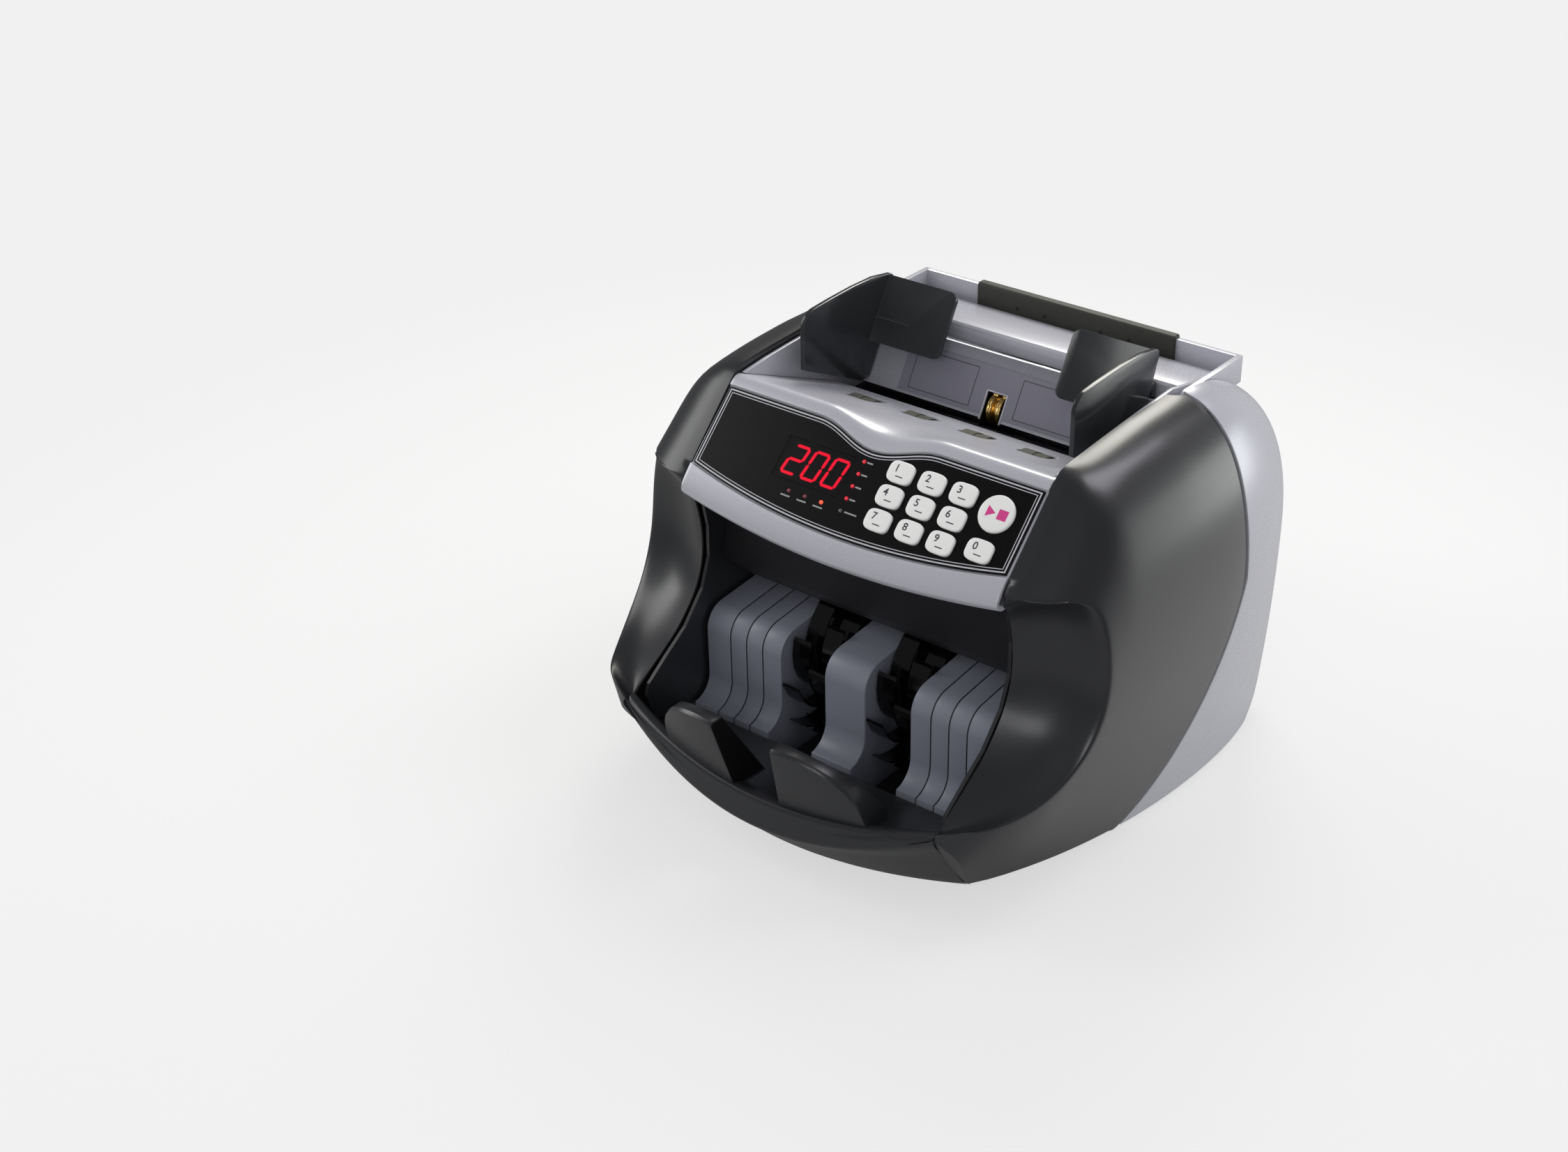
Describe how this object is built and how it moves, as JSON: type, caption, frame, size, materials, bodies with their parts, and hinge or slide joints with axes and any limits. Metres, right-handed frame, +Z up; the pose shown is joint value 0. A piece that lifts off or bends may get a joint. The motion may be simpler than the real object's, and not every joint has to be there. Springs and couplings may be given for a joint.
{
  "type": "banknote counting machine",
  "caption": "Bench-top banknote counter with a sloping keypad and display, a note hopper with sliding guides, stacker wheels over an open note pocket and a folding handle.",
  "frame": {"origin": "centre of the footprint of the whole machine, on the table", "axes": "+X to the right as the user sees the front, +Y from the front to the rear, +Z up"},
  "size_m": [0.296, 0.3265, 0.2287],
  "materials": {
    "charcoal_plastic": "satin",
    "silver_plastic": "satin",
    "slate_plastic": "satin",
    "gloss_black_plastic": "gloss",
    "smoke_plastic": "gloss",
    "display_window": "gloss",
    "light_lens": "gloss",
    "key_plastic": "satin",
    "label_film": "satin",
    "circuit_board": "satin",
    "black_steel": "satin",
    "bright_steel": "brushed",
    "bronze": "satin",
    "brass": "polished",
    "black_rubber": "matte",
    "roller_rubber": "matte",
    "grip_rubber": "matte"
  },
  "bodies": {
    "root": {"base_plate": "charcoal_plastic", "feet": "black_rubber", "base_screws": "bright_steel", "left_side_cover": "charcoal_plastic", "right_side_cover": "charcoal_plastic", "rear_cover": "silver_plastic", "io_plate": "gloss_black_plastic", "dc_inlet": "gloss_black_plastic", "top_cover": "silver_plastic", "hopper_back_wall": "silver_plastic", "label_plate": "label_film", "hopper_side_walls": "silver_plastic", "panel_housing": "silver_plastic", "panel_overlay": "gloss_black_plastic", "display_window": "display_window", "display_module": "gloss_black_plastic", "status_leds": "light_lens", "panel_pcb": "circuit_board", "side_frames": "black_steel", "pocket_guard": "black_steel", "tie_bars": "bright_steel", "shaft_bushes": "bronze", "front_tray": "charcoal_plastic", "left_stacker_guide": "slate_plastic", "middle_stacker_guide": "slate_plastic", "right_stacker_guide": "slate_plastic", "separator": "roller_rubber", "drive_motors": "bright_steel", "drive_belts": "black_rubber", "main_pcb": "circuit_board", "guide_rail": "bright_steel"},
    "left_guide": {"left_hopper_guide": "smoke_plastic"},
    "right_guide": {"right_hopper_guide": "smoke_plastic"},
    "handle": {"folding_handle": "silver_plastic", "handle_grip": "grip_rubber"},
    "adjuster": {"adjusting_wheel": "brass"},
    "rocker": {"power_rocker": "gloss_black_plastic"},
    "feed": {"feed_shaft": "bright_steel", "feed_rollers": "roller_rubber"},
    "motor_drive": {"motor_pulley": "bright_steel"},
    "pickup": {"pickup_shaft": "bright_steel", "pickup_rollers": "roller_rubber"},
    "transport": {"transport_shaft": "bright_steel"},
    "pinch": {"pinch_shaft": "bright_steel"},
    "stacker": {"stacker_shaft": "bright_steel", "left_stacker_wheel": "gloss_black_plastic", "right_stacker_wheel": "gloss_black_plastic"},
    "stacker_drive": {"stacker_motor_pulley": "bright_steel"},
    "key_1": {"key_1": "key_plastic"},
    "key_2": {"key_2": "key_plastic"},
    "key_3": {"key_3": "key_plastic"},
    "key_4": {"key_4": "key_plastic"},
    "key_5": {"key_5": "key_plastic"},
    "key_6": {"key_6": "key_plastic"},
    "key_7": {"key_7": "key_plastic"},
    "key_8": {"key_8": "key_plastic"},
    "key_9": {"key_9": "key_plastic"},
    "key_0": {"key_0": "key_plastic"},
    "start_key": {"start_key": "key_plastic"}
  },
  "joints": [
    {"name": "key_1_press", "type": "slide", "parent": "root", "child": "key_1", "axis": [0, 0.7009, -0.7133], "range_m": [0, 0.0008], "stiffness_N_per_m": 400},
    {"name": "key_2_press", "type": "slide", "parent": "root", "child": "key_2", "axis": [0, 0.7009, -0.7133], "range_m": [0, 0.0008], "stiffness_N_per_m": 400},
    {"name": "key_3_press", "type": "slide", "parent": "root", "child": "key_3", "axis": [0, 0.7009, -0.7133], "range_m": [0, 0.0008], "stiffness_N_per_m": 400},
    {"name": "key_4_press", "type": "slide", "parent": "root", "child": "key_4", "axis": [0, 0.7009, -0.7133], "range_m": [0, 0.0008], "stiffness_N_per_m": 400},
    {"name": "key_5_press", "type": "slide", "parent": "root", "child": "key_5", "axis": [0, 0.7009, -0.7133], "range_m": [0, 0.0008], "stiffness_N_per_m": 400},
    {"name": "key_6_press", "type": "slide", "parent": "root", "child": "key_6", "axis": [0, 0.7009, -0.7133], "range_m": [0, 0.0008], "stiffness_N_per_m": 400},
    {"name": "key_7_press", "type": "slide", "parent": "root", "child": "key_7", "axis": [0, 0.7009, -0.7133], "range_m": [0, 0.0008], "stiffness_N_per_m": 400},
    {"name": "key_8_press", "type": "slide", "parent": "root", "child": "key_8", "axis": [0, 0.7009, -0.7133], "range_m": [0, 0.0008], "stiffness_N_per_m": 400},
    {"name": "key_9_press", "type": "slide", "parent": "root", "child": "key_9", "axis": [0, 0.7009, -0.7133], "range_m": [0, 0.0008], "stiffness_N_per_m": 400},
    {"name": "key_0_press", "type": "slide", "parent": "root", "child": "key_0", "axis": [0, 0.7009, -0.7133], "range_m": [0, 0.0008], "stiffness_N_per_m": 400},
    {"name": "start_key_press", "type": "slide", "parent": "root", "child": "start_key", "axis": [0, 0.7009, -0.7133], "range_m": [0, 0.0008], "stiffness_N_per_m": 400},
    {"name": "left_guide_slide", "type": "slide", "parent": "root", "child": "left_guide", "axis": [1, 0, 0], "range_m": [-0.009, 0.028]},
    {"name": "right_guide_slide", "type": "slide", "parent": "root", "child": "right_guide", "axis": [-1, 0, 0], "range_m": [-0.009, 0.028]},
    {"name": "handle_fold", "type": "hinge", "parent": "root", "child": "handle", "pos_m": [0, 0.072, 0.199], "axis": [1, 0, 0], "range_deg": [0, 95]},
    {"name": "adjuster_turn", "type": "hinge", "parent": "root", "child": "adjuster", "pos_m": [-0.002, 0.0582, 0.17055], "axis": [1, 0, 0], "range_deg": [-150, 150]},
    {"name": "rocker_tilt", "type": "hinge", "parent": "root", "child": "rocker", "pos_m": [-0.054, 0.14854, 0.04579], "axis": [1, 0, 0], "range_deg": [0, 12]},
    {"name": "feed_spin", "type": "hinge", "parent": "root", "child": "feed", "pos_m": [0, 0.022, 0.152], "axis": [1, 0, 0], "continuous": true},
    {"name": "motor_spin", "type": "hinge", "parent": "root", "child": "motor_drive", "pos_m": [0, 0.088, 0.042], "axis": [1, 0, 0], "continuous": true},
    {"name": "pickup_spin", "type": "hinge", "parent": "root", "child": "pickup", "pos_m": [0, 0.00376, 0.17147], "axis": [1, 0, 0], "continuous": true},
    {"name": "transport_spin", "type": "hinge", "parent": "root", "child": "transport", "pos_m": [0, -0.0026, 0.114], "axis": [1, 0, 0], "continuous": true},
    {"name": "pinch_spin", "type": "hinge", "parent": "root", "child": "pinch", "pos_m": [0, 0.01524, 0.10062], "axis": [1, 0, 0], "continuous": true},
    {"name": "stacker_spin", "type": "hinge", "parent": "root", "child": "stacker", "pos_m": [0, -0.041, 0.05], "axis": [1, 0, 0], "continuous": true},
    {"name": "stacker_motor_spin", "type": "hinge", "parent": "root", "child": "stacker_drive", "pos_m": [0, 0.02, 0.034], "axis": [1, 0, 0], "continuous": true}
  ],
  "couplings": [
    {"joint": "motor_spin", "follows": "feed_spin", "ratio": 2.25},
    {"joint": "pickup_spin", "follows": "feed_spin", "ratio": 1},
    {"joint": "transport_spin", "follows": "feed_spin", "ratio": 1},
    {"joint": "pinch_spin", "follows": "feed_spin", "ratio": -1.4444},
    {"joint": "stacker_motor_spin", "follows": "stacker_spin", "ratio": 3}
  ]
}
